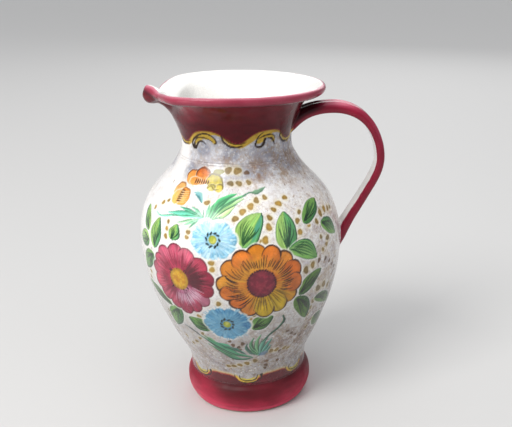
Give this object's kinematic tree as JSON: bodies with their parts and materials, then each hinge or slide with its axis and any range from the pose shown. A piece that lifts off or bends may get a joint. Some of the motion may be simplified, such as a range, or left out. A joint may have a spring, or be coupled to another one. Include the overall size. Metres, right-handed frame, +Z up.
{
  "type": "ceramic jug",
  "caption": "Large hand-painted glazed ceramic jug with ovoid belly, flared spouted mouth, strap handle and pedestal foot.",
  "frame": {"origin": "centre of the flat base, on the resting plane and on the axis of the turned body", "axes": "+Z up along the axis of the turned body, +X towards the handle, spout towards -X"},
  "size_m": [0.2795, 0.2306, 0.37],
  "materials": {
    "crimson_foot_glaze": "satin crimson glaze, maroon towards the painted border",
    "painted_body_glaze": "glossy off-white tin glaze mottled in lilac grey and tan, hand-painted flowers and leaves",
    "crimson_mouth_glaze": "glossy deep crimson outside, plain white glaze inside",
    "crimson_handle_glaze": "glossy crimson outside, white glaze on the inner face"
  },
  "bodies": {
    "root": {"pedestal_foot": "crimson_foot_glaze", "foot_slip_joint": "painted_body_glaze", "belly": "painted_body_glaze", "neck_slip_joint": "crimson_mouth_glaze", "flared_mouth": "crimson_mouth_glaze", "strap_handle": "crimson_handle_glaze", "handle_upper_slip_joint": "crimson_mouth_glaze", "handle_lower_slip_joint": "crimson_handle_glaze"}
  },
  "joints": []
}
